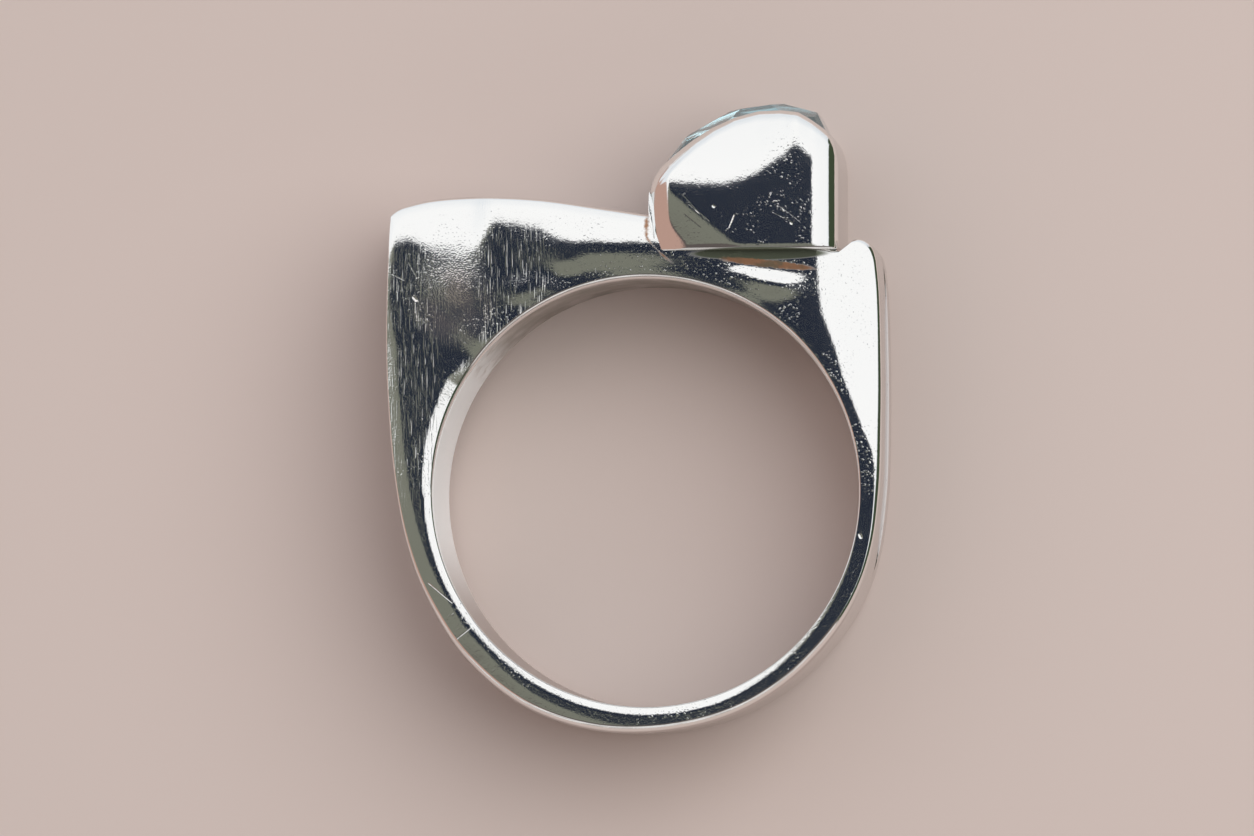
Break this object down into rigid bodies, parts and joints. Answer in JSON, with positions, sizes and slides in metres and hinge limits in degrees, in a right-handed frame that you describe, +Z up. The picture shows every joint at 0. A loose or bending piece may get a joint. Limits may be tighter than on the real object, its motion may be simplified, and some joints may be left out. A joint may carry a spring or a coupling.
{
  "type": "silver ring with a box-set aquamarine",
  "caption": "Polished silver finger ring with a tall shoulder, a low shoulder and an off-centre box that holds a cut aquamarine.",
  "frame": {"origin": "centre of the finger hole, at the middle of the band's depth", "axes": "+Z along the finger hole, so the ring lies on its side with +Z up; +Y from the finger hole toward the stone's table; +X toward the low shoulder"},
  "size_m": [0.0202, 0.0256, 0.0068],
  "materials": {
    "silver": "polished, with fine scratches",
    "aquamarine": "cut and polished"
  },
  "bodies": {
    "root": {"ring_body": "silver", "aquamarine": "aquamarine"}
  },
  "joints": []
}
